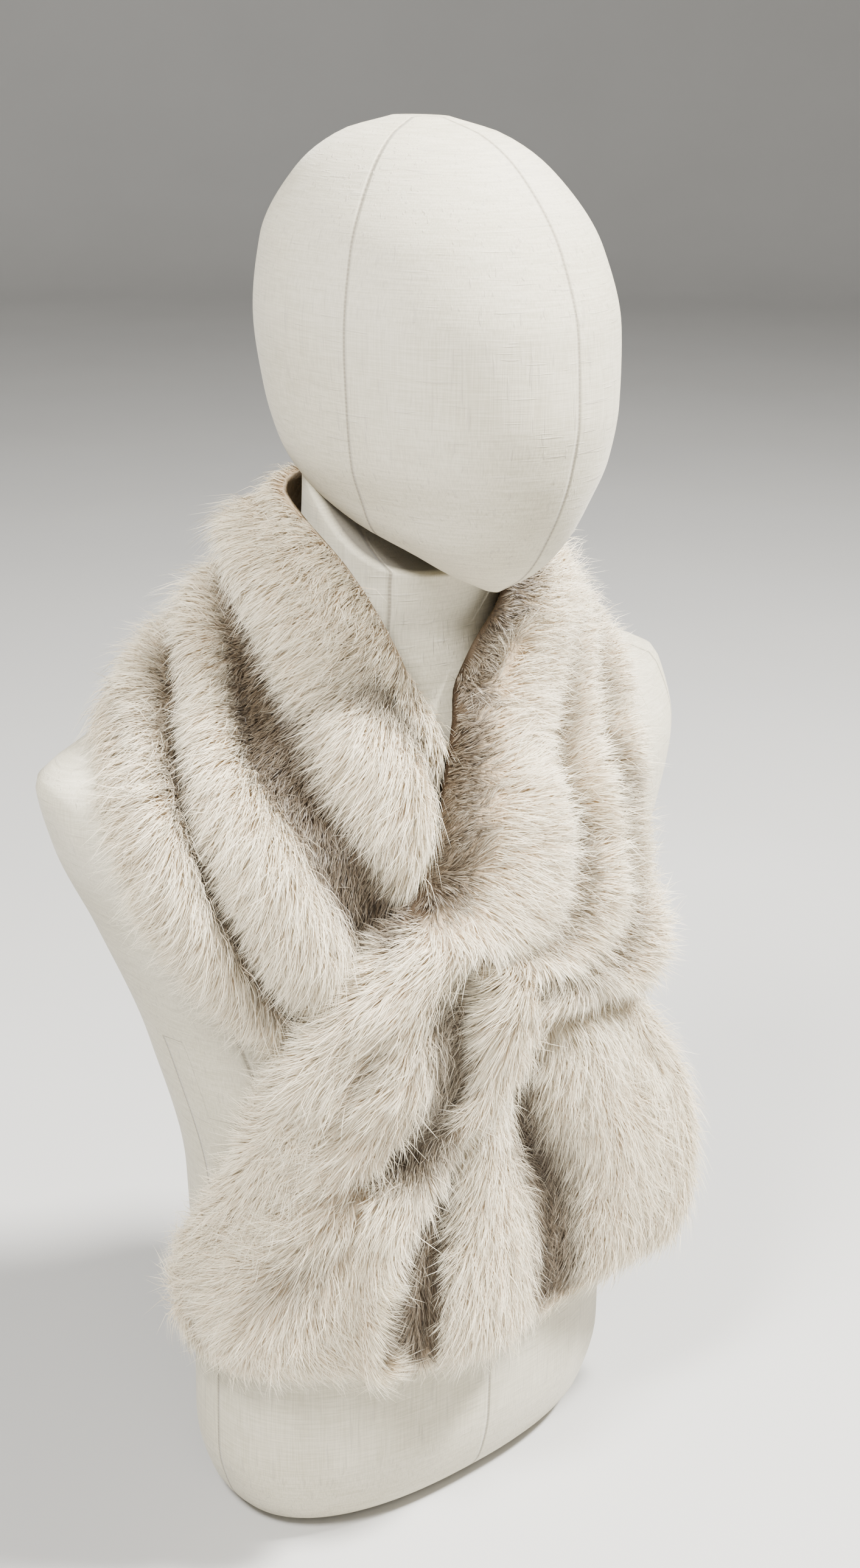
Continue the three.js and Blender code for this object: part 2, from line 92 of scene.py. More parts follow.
BAND = np.array([
    # neck edge x, y, z, free edge x, y, z, pile, valley
    [144, -66, 108, -70, -70, 108, 26, 13],
    [150, -70, 148, -71, -70, 140, 30, 14],
    [148, -68, 190, -68, -70, 172, 31, 14],
    [131, -65, 232, -60, -71, 204, 30, 12],
    [109, -67, 268, -48, -73, 238, 27, 11],
    [90, -76, 300, -42, -76, 266, 16, 10],
    [60, -82, 330, -54, -88, 288, 12, 9],
    [36, -82, 352, -80, -80, 296, 12, 9],
    [14, -80, 378, -112, -64, 302, 20, 10],
    [-6, -70, 406, -138, -54, 318, 26, 11],
    [-22, -58, 436, -160, -44, 348, 30, 12],
    [-36, -50, 468, -176, -36, 382, 31, 12],
    [-48, -44, 498, -180, -22, 416, 29, 12],
    [-56, -24, 526, -168, 10, 444, 26, 12],
    [-58, 8, 546, -142, 44, 456, 25, 12],
    [-46, 38, 553, -100, 68, 462, 26, 13],
    [-24, 56, 556, -54, 82, 456, 26, 14],
    [0, 60, 557, 0, 86, 452, 26, 14],
    [24, 56, 556, 52, 82, 456, 26, 14],
    [44, 38, 553, 96, 66, 462, 26, 13],
    [56, 6, 544, 134, 38, 458, 25, 12],
    [44, -28, 528, 142, 6, 448, 25, 12],
    [22, -47, 508, 126, -28, 428, 26, 12],
    [0, -51, 482, 112, -50, 403, 27, 12],
    [-18, -57, 456, 107, -58, 375, 28, 12],
    [-31, -67, 428, 112, -60, 346, 28, 12],
    [-46, -78, 398, 113, -60, 315, 27, 13],
    [-62, -82, 374, 103, -68, 284, 26, 13],
    [-72, -82, 366, 74, -83, 290, 26, 14],
    [-86, -81, 352, 42, -89, 299, 28, 14],
    [-106, -73, 326, 11, -92, 301, 30, 14],
    [-124, -57, 286, -11, -91, 270, 30, 13],
    [-133, -36, 236, -45, -91, 237, 30, 14],
    [-137, -8, 196, -68, -89, 196, 30, 14],
    [-139, 20, 156, -78, -87, 156, 30, 14],
    [-140, 38, 116, -80, -86, 116, 24, 12],
], float)
RIDGES = np.array([
    # station, then centre and half width of each of the four pelt ridges
    [0, 0.04, 0.07, 0.26, 0.24, 0.76, 0.2, 0.97, 0.06],
    [2, 0.04, 0.07, 0.28, 0.26, 0.76, 0.19, 0.97, 0.06],
    [4, 0.04, 0.07, 0.36, 0.28, 0.81, 0.14, 0.97, 0.06],
    [6, 0.05, 0.08, 0.36, 0.28, 0.82, 0.14, 0.96, 0.07],
    [9, 0.05, 0.08, 0.25, 0.2, 0.73, 0.17, 0.95, 0.08],
    [10.5, 0.05, 0.08, 0.24, 0.2, 0.7, 0.14, 0.94, 0.09],
    [12, 0.05, 0.08, 0.22, 0.18, 0.66, 0.14, 0.92, 0.1],
    [14, 0.07, 0.1, 0.22, 0.16, 0.57, 0.15, 0.85, 0.15],
    [17, 0.08, 0.11, 0.28, 0.15, 0.56, 0.16, 0.85, 0.15],
    [20, 0.08, 0.11, 0.31, 0.16, 0.6, 0.14, 0.87, 0.14],
    [22.5, 0.05, 0.07, 0.26, 0.23, 0.6, 0.12, 0.85, 0.15],
    [26, 0.05, 0.07, 0.26, 0.21, 0.58, 0.13, 0.85, 0.14],
    [28.2, 0.04, 0.06, 0.15, 0.15, 0.45, 0.14, 0.81, 0.19],
    [29.6, 0.04, 0.07, 0.2, 0.2, 0.67, 0.14, 0.95, 0.1],
    [30.8, 0.05, 0.08, 0.36, 0.3, 0.87, 0.12, 0.98, 0.06],
    [31.8, 0.07, 0.1, 0.42, 0.37, 0.93, 0.11, 0.98, 0.05],
    [33, 0.07, 0.1, 0.47, 0.42, 0.97, 0.09, 0.98, 0.05],
    [35, 0.07, 0.1, 0.5, 0.45, 0.98, 0.06, 0.98, 0.05],
], float)
SAG = np.array([
    # station, how far the middle of the cloth hangs in towards the form between its two edges
    [0, 0], [10, 0], [11, 3], [11.5, 9], [12, 16], [13, 15], [15, 13], [17, 7], [19, 11],
    [20, 12], [21, 10], [22, 10], [23, 5], [24, 0], [35, 0],
], float)
SWELL = np.array([
    # share of the pile, waves per station, phase, amount
    [0.55, 0.31, 0.2, 0.1],
    [1, 0.17, 0.65, 0.1],
    [0.97, 0.21, 0.1, 0.09],
    [0.86, 0.26, 0.4, 0.1],
])
CREASES = np.array([
    # station, share across, half length, half width, depth, slant
    [11.9, 0.2, 0.24, 0.5, 12, 1.2],
    [22.6, 0.8, 0.24, 0.35, 4, 0.6],
    [23.7, 0.76, 0.24, 0.35, 4, 0.6],
    [30.4, 0.2, 0.14, 0.35, 6, 0],
    [31.9, 0.75, 0.28, 0.4, 8, -0.5],
    [33.2, 0.55, 0.3, 0.9, 7, 1],
    [3.2, 0.2, 0.16, 0.6, 4, 1],
])
FULL_UNSHADED_PILE = [
    # where the fur stays fully raised and its painted shade stays light although a valley or an
    # edge runs there: how much, the stations over which that comes and over which it goes, how much
    # is left after, and the same across the band
    (0.8, None, (6, 8), 0, None, (0.15, 0.25)),
    (0.45, (19.5, 22), (28.5, 30.5), 0.6, (0.04, 0.14), None),
    (0.85, (28, 29.5), None, 0, None, (0.18, 0.3)),
    (0.85, (22, 23), (25.5, 27), 0, (0.06, 0.15), (0.3, 0.4)),
    (0.75, (10.5, 12.5), (19, 21), 0, None, (0.28, 0.4)),
    (0.9, None, None, 0, (0.88, 0.97), None),
    (0.8, (31.8, 32.6), None, 0, (0.6, 0.7), None),
]
# How far the neck edge's painted shade is lifted: high where the edge is free, near nothing on the strip
# turned in at the front, which stays in dark painted shade.
NECK_EDGE_FULL_UNSHADED, NECK_EDGE_THIN_SHADED = 0.75, 0.03        # the neck edge, free and where it is turned in
TURNED_IN_COMES, TURNED_IN_GOES = (19, 21.5), (27.5, 30.5)
# The fur at both hems stays long and its painted shade stays light.
HEM_FULL_UNSHADED, HEM_REACHES = 0.75, (0.1, 0.5)
SHADED_PARTINGS = [
    # where the pile parts: its hair is shorter there and painted darker as shade. Station, share
    # across, half width along the band and across it, how much
    (32.1, 0.55, 0.35, 0.3, 0.5), (33.5, 0.5, 0.7, 0.12, 0.4), (34.3, 0.28, 0.5, 0.1, 0.3),
    (30.6, 0.3, 0.3, 0.12, 0.3), (3.2, 0.42, 1.2, 0.1, 0.3), (1.5, 0.6, 1.0, 0.06, 0.3),
    (12.2, 0.52, 1.2, 0.06, 0.25), (25.3, 0.42, 0.6, 0.08, 0.35), (24, 0.7, 0.4, 0.12, 0.35),
]
SHADED_PRESSED_EDGES = [
    # where a free edge lies flattened against the next lobe, its hair shorter and painted in
    # the groove's shade: how much, stations, share across
    (0.85, (31, 32), None, (0.93, 0.97)),
    (0.7, None, (4, 6), (0.86, 0.91)),
]
COMB = np.array([
    # station, lean of the hair across the band (+ away from the neck), along it (+ to higher
    # stations), how far it fans away from the middle of each ridge and of the whole band, unrest
    [0, 0.1, -1, 0.7, 0.3, 0.3],
    [3, 0.15, -1, 0.7, 0.2, 0.3],
    [6, 0.5, -0.95, 0.4, 0.1, 0.25],
    [9, 0.9, -0.7, 0.1, 0, 0.15],
    [11, 1, -0.3, 0.1, 0, 0.12],
    [13, 1, 0.15, 0.15, 0.1, 0.3],
    [17, 1, 0, 0.2, 0.1, 0.3],
    [21, 1, -0.3, 0.15, 0.1, 0.15],
    [24, 1, -0.5, 0.15, 0.1, 0.12],
    [25.5, 1, -0.3, 0.15, 0.1, 0.15],
    [27, 0.8, 0.35, 0.2, 0.4, 0.2],
    [29, 0.25, 1, 0.3, 0.8, 0.3],
    [32, 0, 1, 0.4, 0.9, 0.45],
    [35, 0, 1, 0.3, 0.9, 0.7],
], float)
STRETCHES = {
    "tail_under": (0, 6), "right_panel": (6, 14), "collar_back": (14, 20),
    "left_panel": (20, 30), "tail_over": (30, 35),
}
UNDER_RUN, OVER_RUN = (0, 10.5), (23.6, 35)
REST_UNDER, REST_OVER = 1.4, 1.9
PRESSED, PRESS_RAMP = 10, (3, 18)
LIFT, LIFT_RAMP = 14.2, (6, 26)
CLING_STARTS, CLING_LEAVES, CLING_RETURNS = (2.5, 5), (9, 12), (22, 25)
EDGE_THICKNESS, EDGE_REACH = 4, 20
HEM_REACH = 0.62
DENSE = 0.82       # the dense undercoat as a share of the pile's height
HOLLOW = 4.5       # how much lower it lies at the bottom of a valley
BRIDGING = 25      # how many times the cloth is drawn out of hollows that it would bridge


# ---------------------------------------------------------------- camera, floor and light

AZIMUTH, PITCH, ROLL = -40.646, 20.095, 0.635                      # degrees
EYE_DISTANCE, AIM_SHIFT, AIM_HEIGHT = 1.12492, 0.01307, 0.3974     # metres
FOCAL_PIXELS, PHOTO_HEIGHT = 3543.9, 2576
SENSOR = 36


def photo_camera():
    """Stands where the outline of the bust in the photograph puts the camera."""
    azimuth, pitch, roll = np.radians([AZIMUTH, PITCH, ROLL])
    back = np.array([np.sin(azimuth) * np.cos(pitch), -np.cos(azimuth) * np.cos(pitch), np.sin(pitch)])
    level = np.array([np.cos(azimuth), np.sin(azimuth), 0])
    above = np.cross(back, level)
    right = np.cos(roll) * level + np.sin(roll) * above
    up = -np.sin(roll) * level + np.cos(roll) * above
    place = np.array([0, 0, AIM_HEIGHT]) + level * AIM_SHIFT + back * EYE_DISTANCE
    data = bpy.data.cameras.new("camera")
    data.sensor_width, data.sensor_fit = SENSOR, "AUTO"
    data.lens = SENSOR * FOCAL_PIXELS / PHOTO_HEIGHT
    camera = bpy.data.objects.new("camera", data)
    turned = np.vstack([right, up, back, place]).T
    camera.matrix_world = Matrix([*turned.tolist(), [0, 0, 0, 1]])
    bpy.context.scene.collection.objects.link(camera)
    bpy.context.scene.camera = camera


def area_light(name, place, size, power, colour):
    """A round soft light turned towards the middle of the bust."""
    data = bpy.data.lights.new(name, "AREA")
    data.shape, data.size, data.energy, data.color = "DISK", size, power, colour
    light = bpy.data.objects.new(name, data)
    light.location = place
    light.rotation_euler = (Vector((0, 0, 0.4)) - Vector(place)).to_track_quat("-Z", "Y").to_euler()
    bpy.context.scene.collection.objects.link(light)


# ---------------------------------------------------------------- materials

class Sock:
    """A shader value that can be written as maths."""

    def __init__(self, nodes, socket):
        self.nodes, self.socket = nodes, socket

    def _op(self, operation, *values):
        return self.nodes.add("ShaderNodeMath", {"operation": operation}, *values)

    def __add__(self, other): return self._op("ADD", self, other)
    def __radd__(self, other): return self._op("ADD", other, self)
    def __sub__(self, other): return self._op("SUBTRACT", self, other)
    def __mul__(self, other): return self._op("MULTIPLY", self, other)
    def __abs__(self): return self._op("ABSOLUTE", self)

    def below(self, limit, soft):
        """1 where the value is under the limit, 0 above it, soft over the given width."""
        return self.nodes.add("ShaderNodeMapRange", {"interpolation_type": "SMOOTHSTEP"},
                              self, limit, limit + soft, 1.0, 0.0)

    def above(self, limit, soft):
        """0 where the value is under the limit, 1 above it, soft over the given width."""
        return self.nodes.add("ShaderNodeMapRange", {"interpolation_type": "SMOOTHSTEP"},
                              self, limit, limit + soft, 0.0, 1.0)


class Shader:
    """One material's node tree, built from expressions."""

    def __init__(self, name):
        self.material = bpy.data.materials.new(name)
        self.material.use_nodes = True
        self.tree = self.material.node_tree
        self.surface = self.tree.nodes["Principled BSDF"]

    def add(self, kind, settings=None, *values, output=0, **named):
        node = self.tree.nodes.new(kind)
        for key, value in (settings or {}).items():
            setattr(node, key, value)
        for key, value in [*enumerate(values), *named.items()]:
            self.feed(node.inputs[key.replace("_", " ") if isinstance(key, str) else key], value)
        return Sock(self, node.outputs[output])

    def feed(self, socket, value):
        if isinstance(value, Sock):
            self.tree.links.new(value.socket, socket)
        elif isinstance(value, tuple) and len(value) == 3 and socket.type == "RGBA":
            socket.default_value = (*value, 1)
        else:
            socket.default_value = value

    def set(self, **sockets):
        for name, value in sockets.items():
            self.feed(self.surface.inputs[name.replace("_", " ")], value)

    def mix(self, factor, first, second):
        node = self.tree.nodes.new("ShaderNodeMix")
        node.data_type = "RGBA"
        colours = [s for s in node.inputs if s.type == "RGBA"]
        self.feed(node.inputs[0], factor)
        self.feed(colours[0], first)
        self.feed(colours[1], second)
        return Sock(self, [s for s in node.outputs if s.type == "RGBA"][0])

    def stretched(self, where, scale):
        return self.add("ShaderNodeMapping", {}, Vector=where, Scale=scale)

    def noise(self, where, scale, detail=2.0, rough=0.5):
        return self.add("ShaderNodeTexNoise", {}, Vector=where, Scale=scale, Detail=detail,
                        Roughness=rough)


def linen():
    """Plain-woven linen: fine upright and level threads, thick slubs, stitched seams."""
    m = Shader("linen_cover")
    where = m.add("ShaderNodeTexCoord", {}, output=3)
    upright = m.noise(m.stretched(where, (1500, 1500, 45)), 1.0, 2.0)
    level = m.noise(m.stretched(where, (60, 60, 1500)), 1.0, 2.0)
    slub_up = m.noise(m.stretched(where, (520, 520, 36)), 1.0, 1.0).above(0.64, 0.09)
    slub_level = m.noise(m.stretched(where, (48, 48, 620)), 1.0, 1.0).above(0.66, 0.08)
    cloudy = m.noise(where, 9.0, 3.0)
    weave = upright * 0.5 + level * 0.5
    ground = m.mix(weave.above(0.3, 0.4), (0.47, 0.43, 0.315), (0.64, 0.59, 0.46))
    ground = m.mix(slub_up * 0.55, ground, (0.44, 0.4, 0.32))
    ground = m.mix(slub_level * 0.5, ground, (0.5, 0.46, 0.37))
    ground = m.mix(cloudy.above(0.35, 0.4) * 0.22, ground, (0.8, 0.77, 0.69))
    seam = m.add("ShaderNodeAttribute", {"attribute_name": "seam"}, output=2)
    run = m.add("ShaderNodeAttribute", {"attribute_name": "seam_run"}, output=2)
    stitch = abs(m.add("ShaderNodeMath", {"operation": "SINE"}, run * 1.6))
    groove = abs(seam).below(0.25, 0.75)
    ground = m.mix(groove * (0.45 + stitch * 0.25), ground, (0.16, 0.135, 0.105))
    # Painted shade: the rings inside the neck's rim are painted dark, for the shaded recess between the
    # rim and the head.
    inside = m.add("ShaderNodeAttribute", {"attribute_name": "inside"}, output=2)
    ground = m.mix(inside * 0.85, ground, (0.1, 0.088, 0.072))
    height = weave * 0.5 + slub_up * 0.5 + slub_level * 0.4 - abs(seam).below(0.1, 1.6) * 2.4
    bump = m.add("ShaderNodeBump", {}, Strength=0.55, Distance=0.0006, Height=height)
    m.set(Base_Color=ground, Roughness=0.92, Normal=bump, Specular_IOR_Level=0.2, Sheen_Weight=0.15)
    return m.material


def fur_hair():
    """Hair colour by its own map: across, from the deep painted shade of a groove to the hair's own
    cream on a crest; up, from root to tip."""
    m = Shader("fur_hair")
    place = m.add("ShaderNodeSeparateXYZ", {}, m.add("ShaderNodeUVMap", {"uv_map": "OFBake"}))
    shade, along = place, Sock(m, place.socket.node.outputs[1])
    root = m.mix(shade, (0.025, 0.014, 0.007), (0.62, 0.465, 0.285))
    tip = m.mix(shade, (0.1, 0.066, 0.036), (1, 0.92, 0.725))
    m.set(Base_Color=m.mix(along.above(0.05, 0.8), root, tip), Roughness=0.5,
          Specular_IOR_Level=0.45, Sheen_Weight=0.15, Sheen_Roughness=0.4)
    return m.material


def fur_undercoat():
    """Dense woolly undercoat: mottled cream over taupe, felted in small tufts, and painted in deep
    shade down in the valleys.
    """
    m = Shader("fur_undercoat")
    where = m.add("ShaderNodeTexCoord", {}, output=3)
    tufts = m.noise(where, 240.0, 4.0, 0.65)
    patches = m.noise(where, 26.0, 2.0)
    # depth is the crest mark, the undercoat's painted shade: near black down in the valleys, on the
    # cloth side and under the other run, cream on the crests, where the tufts are also painted lighter.
    depth = m.add("ShaderNodeAttribute", {"attribute_name": "crest"}, output=2)
    ground = m.mix(depth, (0.025, 0.015, 0.008), (0.55, 0.42, 0.27))
    ground = m.mix(tufts.above(0.35, 0.3) * depth * 0.5, ground, (0.7, 0.58, 0.43))
    ground = m.mix(patches.above(0.4, 0.3) * 0.25, ground, (0.3, 0.22, 0.15))
    bump = m.add("ShaderNodeBump", {}, Strength=0.8, Distance=0.002, Height=tufts)
    m.set(Base_Color=ground, Roughness=0.95, Normal=bump, Specular_IOR_Level=0.1)
    return m.material


def floor_paint():
    """Pale matt paint, very slightly cloudy."""
    m = Shader("pale_floor")
    where = m.add("ShaderNodeTexCoord", {}, output=3)
    paint = m.mix(m.noise(where, 3.0), (0.5, 0.495, 0.485), (0.54, 0.535, 0.525))
    m.set(Base_Color=paint, Roughness=0.6)
    return m.material


# ---------------------------------------------------------------- meshes

def make_mesh(name, points, quads=None, tris=None, material=None, slot=None, uv=None, marks=None):
    """A piece from whole arrays: points in millimetres, faces as index rows, one uv pair for each
    face corner, and named values for each point."""
    quads = np.zeros((0, 4), int) if quads is None else quads
    tris = np.zeros((0, 3), int) if tris is None else tris
    corners = np.concatenate([quads.ravel(), tris.ravel()]).astype(np.int32)
    sizes = np.concatenate([np.full(len(quads), 4), np.full(len(tris), 3)])
    mesh = bpy.data.meshes.new(name)
    mesh.vertices.add(len(points))
    mesh.vertices.foreach_set("co", (points * MM).astype(np.float32).ravel())
    mesh.loops.add(len(corners))
    mesh.loops.foreach_set("vertex_index", corners)
    mesh.polygons.add(len(sizes))
    mesh.polygons.foreach_set("loop_start", (np.cumsum(sizes) - sizes).astype(np.int32))
    mesh.update(calc_edges=True)
    mesh.polygons.foreach_set("use_smooth", np.ones(len(sizes), bool))
    if uv is not None:
        layer = mesh.uv_layers.new(name="OFBake")
        layer.uv.foreach_set("vector", uv.astype(np.float32).ravel())
    for key, values in (marks or {}).items():
        mesh.attributes.new(key, "FLOAT", "POINT").data.foreach_set("value", values.astype(np.float32))
    mesh.materials.append(material)
    piece = bpy.data.objects.new(name, mesh)
    bpy.context.scene.collection.objects.link(piece)
    if slot:
        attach(piece, "root")
    return piece


def grid_quads(rows, cols, closed=False):
    """Quads of a grid of points, the last column joined to the first where it is closed."""
    i, j = np.meshgrid(np.arange(rows - 1), np.arange(cols if closed else cols - 1), indexing="ij")
    n = (j + 1) % cols
    corners = [i * cols + j, i * cols + n, (i + 1) * cols + n, (i + 1) * cols + j]
    return np.stack(corners, -1).reshape(-1, 4)


def ring_mesh(name, rings, material, slot, marks):
    """A closed piece from rings of points, foot first, with a fan at each end."""
    rows, cols, _ = rings.shape
    k = np.arange(cols)
    n, last = (k + 1) % cols, (rows - 1) * cols
    points = np.vstack([rings.reshape(-1, 3), rings[0].mean(0), rings[-1].mean(0)])
    fans = np.vstack([np.stack([np.full(cols, rows * cols), n, k], 1),
                      np.stack([np.full(cols, rows * cols + 1), last + k, last + n], 1)])
    marks = {key: np.append(values.ravel(), [values[0].mean(), values[-1].mean()])
             for key, values in marks.items()}
    return make_mesh(name, points, grid_quads(rows, cols, True), fans, material, slot, marks=marks)


def smooth_ramp(value, low_high):
    """0 up to the first limit, 1 from the second, and 3u^2 - 2u^3 between them."""
    u = np.clip((value - low_high[0]) / (low_high[1] - low_high[0]), 0, 1)
    return u * u * (3 - 2 * u)


def mix(a, b, u):
    """a where u is 0, b where u is 1, and in proportion between."""
    return a + (b - a) * u


def read_table(rows, x):
    """Every other column of the table at x, by the cubic through its rows that doesn't overshoot:
    the slope at a row is the weighted harmonic mean of the rises beside it."""
    x = np.clip(np.asarray(x, float), rows[0, 0], rows[-1, 0])
    z, value = rows[:, 0], rows[:, 1:]
    step = np.diff(z)[:, None]
    rise = np.diff(value, axis=0) / step
    w1, w2 = 2 * step[1:] + step[:-1], step[1:] + 2 * step[:-1]
    with np.errstate(divide="ignore", invalid="ignore"):
        mean = (w1 + w2) / (w1 / rise[:-1] + w2 / rise[1:])
    slope = np.vstack([rise[:1], np.where(rise[:-1] * rise[1:] > 0, mean, 0), rise[-1:]])
    i = np.clip(np.searchsorted(z, x, side="right") - 1, 0, len(z) - 2)
    h = step[i]
    u = (x - z[i])[..., None] / h
    return ((1 + 2 * u) * (1 - u) ** 2 * value[i] + u * (1 - u) ** 2 * h * slope[i]
            + u * u * (3 - 2 * u) * value[i + 1] + u * u * (u - 1) * h * slope[i + 1])


def read_band(s):
    """The band's table at station s, by the Catmull-Rom cubic through its rows."""
    last = len(BAND) - 1
    padded = np.vstack([2 * BAND[0] - BAND[1], BAND, 2 * BAND[-1] - BAND[-2]])
    i = np.clip(np.floor(s).astype(int), 0, last - 1)
    u = (s - i)[..., None]
    a, b, c, d = (padded[i + k] for k in range(4))
    return b + 0.5 * u * (c - a + u * (2 * a - 5 * b + 4 * c - d + u * (3 * (b - c) + d - a)))


def unit(v):
    """The direction of each vector."""
    return v / np.maximum(np.linalg.norm(v, axis=-1, keepdims=True), 1e-9)


def power(value, squareness):
    """The value's size to the power 2 / squareness, with its sign kept."""
    return np.sign(value) * np.abs(value) ** (2 / squareness)


# ---------------------------------------------------------------- dress form

def section_reach(dx, dy, z, grow=0.0):
    """How far the form's level section reaches from its middle in the direction (dx, dy): the
    superellipse of the body and the ellipse of the neck's foot, as the MELT-th root of the sum of
    their MELT-th powers."""
    width, depth, centre, square = np.moveaxis(read_table(TORSO, z), -1, 0)
    body = np.abs(dx / (width + grow)) ** square + np.abs(dy / (depth + grow)) ** square
    body = body ** (-1 / square)
    wide, deep, middle = np.moveaxis(read_table(TRUNK, z), -1, 0)
    offset = (middle - centre) / deep
    a = (dx / wide) ** 2 + (dy / deep) ** 2
    b = dy / deep * offset
    root = b * b - a * (offset ** 2 - 1)
    neck = np.where(root > 0, (b + np.sqrt(np.maximum(root, 0))) / a, 0)
    return (body ** MELT + np.maximum(neck, 0) ** MELT) ** (1 / MELT)


def torso_point(angle, z, grow=0.0):
    """The section's point in the direction of x = half width * cos, y = half depth * sin, each
    raised to 2 / squareness."""
    width, depth, centre, square = np.moveaxis(read_table(TORSO, z), -1, 0)
    way = [width * power(np.cos(angle), square), depth * power(np.sin(angle), square)]
    way = unit(np.stack(way, -1))
    reach = section_reach(way[..., 0], way[..., 1], z, grow)
    return np.stack([reach * way[..., 0], centre + reach * way[..., 1], z], -1)


def torso():
    """Rings up to z = 500, then the neck's rings up to its slanting rim, which is rounded over.
    The seams run up the middle of the front and back, up the sides, and round the armholes."""
    angle = np.linspace(0, 2 * np.pi, 193)[:-1]
    body = np.concatenate([[0, 0.8, 2.5, 6], np.arange(10, 500, 5.0)])
    rings = [torso_point(angle, np.full_like(angle, z)) for z in body]
    rim = RIM_FRONT + RIM_RISE * smooth_ramp((1 + np.sin(angle)) / 2, (0, 1))
    for share in np.linspace(0, 1, 13):
        rings.append(torso_point(angle, mix(500, rim - RIM_ROUND, share)))
    for turn in np.radians([20, 45, 70, 90]):
        over = torso_point(angle, rim, -RIM_ROUND * (1 - np.cos(turn)))
        over[:, 2] = rim - RIM_ROUND * (1 - np.sin(turn))
        rings.append(over)
    for inset in (6, 14, 24):
        within = torso_point(angle, rim, -float(inset))
        within[:, 2] = mix(rim, rim.mean(), smooth_ramp(inset, (0, 60)))
        rings.append(within)
    # The three rings set in from the rim are marked for the painted shade of the recess under the head.
    inside = np.zeros((len(rings), len(angle)))
    inside[-3:] = 1
    rings = np.array(rings)
    x, y, z = np.moveaxis(rings, -1, 0)
    width, _, centre, _ = np.moveaxis(read_table(TORSO, z), -1, 0)
    armhole = np.where((z > 250) & (z < 452), np.abs(x) - (width - 17), 99)
    neck_side = np.where((z > 470) & (y < 0), np.abs(x) - 36, 99)
    seam = np.stack([np.where(z < 470, x, 99), np.where(z < 300, y - centre, 99), armhole, neck_side])
    near = np.abs(seam).argmin(0)
    seam = np.take_along_axis(seam, near[None], 0)[0]
    piece = ring_mesh("dress_form_torso", rings, linen_cover, "linen_cover",
                      {"seam": seam, "seam_run": z, "inside": inside})
    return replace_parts(piece, "form_torso")


def head():
    """Level rings from chin to crown: a faceless egg with a slanting face and a pointed chin. The
    seams run up the middle of the face and up each side of the jaw."""
    angle = np.linspace(0, 2 * np.pi, 161)[:-1]
    z = np.concatenate([[515, 515.6, 516.5], np.arange(518, 724, 3.0),
                        [725, 727, 728.5, 729.8, 730.6, 731]])
    width, front, back, square = (c[:, None] for c in np.moveaxis(read_table(HEAD, z), -1, 0))
    x = width * power(np.cos(angle), square)
    y = (front + back) / 2 + (back - front) / 2 * power(np.sin(angle), square)
    rings = np.stack([x, y, np.broadcast_to(z[:, None], x.shape)], -1)
    turn = np.radians(66)
    side = np.where(y < 40, np.abs(x) * np.cos(turn) + (y + 10) * np.sin(turn), 99)
    seam = np.where(np.abs(x) < np.abs(side), x, side)
    piece = ring_mesh("dress_form_head", rings, linen_cover, "linen_cover",
                      {"seam": seam, "seam_run": rings[..., 2]})
    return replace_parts(piece, "form_head")


def studio_floor():
    """A round floor that rises into a wall: a quarter circle joins the level part to the wall, and
    the profile is turned about the upright axis."""
    bend = np.linspace(0, np.pi / 2, 10)
    reach = np.concatenate([[0.5, 1.5, 3], 5 + 1.5 * np.sin(bend), [6.5]]) * 1000
    rise = np.concatenate([[0, 0, 0], 1.5 - 1.5 * np.cos(bend), [5]]) * 1000
    turn = np.linspace(0, 2 * np.pi, 73)[:-1, None]
    rings = np.stack([reach * np.cos(turn), reach * np.sin(turn), rise + 0 * turn], -1)
    rings = rings.transpose(1, 0, 2)
    points = np.vstack([rings.reshape(-1, 3), [[0, 0, 0]]])
    k = np.arange(72)
    middle = np.stack([k, (k + 1) % 72, np.full(72, len(points) - 1)], 1)
    quads = grid_quads(len(rings), 72, True)[:, ::-1]
    return make_mesh("floor", points, quads, middle, floor_paint())


# ---------------------------------------------------------------- fur band

def away_from_form(point):
    """How far points lie outside the form, and the way out: the level set of its sections, over
    the length of its own slope."""
    def level(p):
        dx, dy = p[..., 0], p[..., 1] - read_table(TORSO, p[..., 2])[..., 2]
        far = np.maximum(np.hypot(dx, dy), 1e-6)
        return far - section_reach(dx / far, dy / far, p[..., 2])
    steps = 0.5 * np.eye(3)
    slope = np.stack([level(point + step) - level(point - step) for step in steps], -1)
    steep = np.maximum(np.linalg.norm(slope, axis=-1), 1e-6)
    return level(point) / steep, slope / steep[..., None]


def outline_distance(x, z, outline):
    """Signed distance in the front view to a closed outline, negative inside: the least distance
    to its sides, with the sign of an even-odd count of the sides passed."""
    a, b = outline, np.roll(outline, -1, 0)
    d = b - a
    px, pz = x[..., None] - a[:, 0], z[..., None] - a[:, 1]
    u = np.clip((px * d[:, 0] + pz * d[:, 1]) / (d ** 2).sum(1), 0, 1)
    nearest = np.hypot(px - u * d[:, 0], pz - u * d[:, 1]).min(-1)
    with np.errstate(divide="ignore", invalid="ignore"):
        passed = ((a[:, 1] > z[..., None]) != (b[:, 1] > z[..., None])) & (px < d[:, 0] * pz / d[:, 1])
    return np.where(passed.sum(-1) % 2 == 1, -nearest, nearest)


def run_outline(run):
    """The band's outline in the front view between two stations: down one edge, back up the other."""
    rows = read_band(np.linspace(*run, int(np.ceil((run[1] - run[0]) * 2)) + 1))
    return np.vstack([rows[:, [0, 2]], rows[::-1][:, [3, 5]]])


def within(value, comes, goes, left=0):
    """1 between two soft limits and 0 outside them, or what is left past the second one. Each
    limit is a pair of values, or None where there is none."""
    before = 1 if comes is None else smooth_ramp(value, comes)
    after = 0 if goes is None else smooth_ramp(value, goes)
    return before - (1 - left) * after


